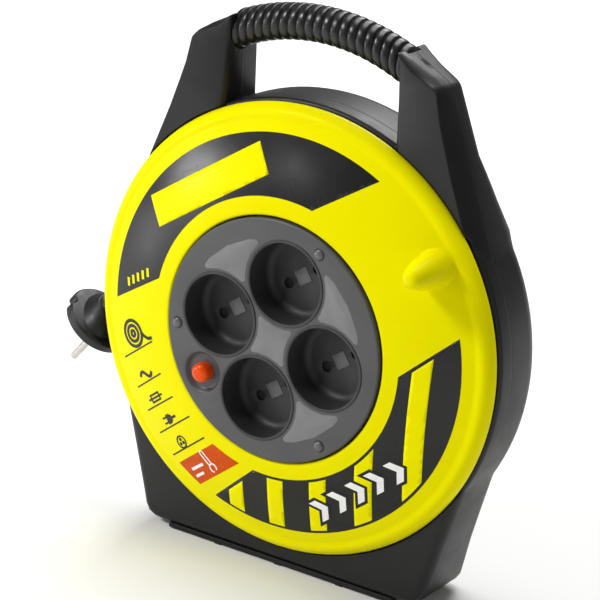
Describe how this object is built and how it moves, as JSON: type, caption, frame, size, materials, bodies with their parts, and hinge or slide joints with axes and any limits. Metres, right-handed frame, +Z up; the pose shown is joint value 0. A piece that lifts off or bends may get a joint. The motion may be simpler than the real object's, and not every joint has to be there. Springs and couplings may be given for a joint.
{
  "type": "extension cord reel",
  "caption": "Cassette extension cord reel with arched carrying handle, round turning drum with finger knob, recessed two-pin sockets and a cut-out button.",
  "frame": {"origin": "centre of the middle foot bar's underside, straight below the drum axis", "axes": "+X to the user's right, +Y from the front (sockets) to the back, +Z up"},
  "size_m": [0.2619, 0.0732, 0.2805],
  "materials": {
    "case": "satin",
    "foot": "matte",
    "grip": "satin",
    "steel": "satin",
    "cord": "satin",
    "plug": "satin",
    "pins": "polished",
    "yellow": "gloss",
    "drum_black": "satin",
    "panel": "satin",
    "inlay": "satin",
    "brass": "satin",
    "inner_plastic": "satin",
    "button": "gloss",
    "wire": "satin"
  },
  "bodies": {
    "case": {"front_shell": "case", "rear_shell": "case", "base_foot": "foot", "handle_bar": "case", "grip_sleeve": "grip", "case_screws": "steel", "axle_washer": "steel", "axle_screw": "steel", "outlet_bush": "foot", "cord_run": "cord", "cord_tail": "cord", "plug_sleeve": "plug", "plug_body": "plug", "plug_pins": "pins"},
    "drum": {"wheel": "yellow", "rear_flange": "drum_black", "drum_screws": "steel", "socket_panel": "panel", "panel_inlays": "inlay", "well_pads": "inlay", "screw_caps": "panel", "panel_screws": "steel", "live_contacts": "brass", "neutral_contacts": "brass", "contact_cover": "inner_plastic", "cover_screw": "steel", "breaker_body": "drum_black", "breaker_terminals": "brass", "breaker_nut": "steel", "cord_inner_end": "cord", "cable_clamp": "drum_black", "clamp_screws": "steel", "inner_leads": "wire", "winding_core": "cord", "winding_outer": "cord"},
    "button": {"reset_button": "button"}
  },
  "joints": [
    {"name": "drum_spin", "type": "hinge", "parent": "case", "child": "drum", "pos_m": [0, 0, 0.123], "axis": [0, -1, 0], "continuous": true},
    {"name": "reset_press", "type": "slide", "parent": "drum", "child": "button", "axis": [0, 1, 0], "range_m": [0, 0.002], "stiffness_N_per_m": 400}
  ]
}
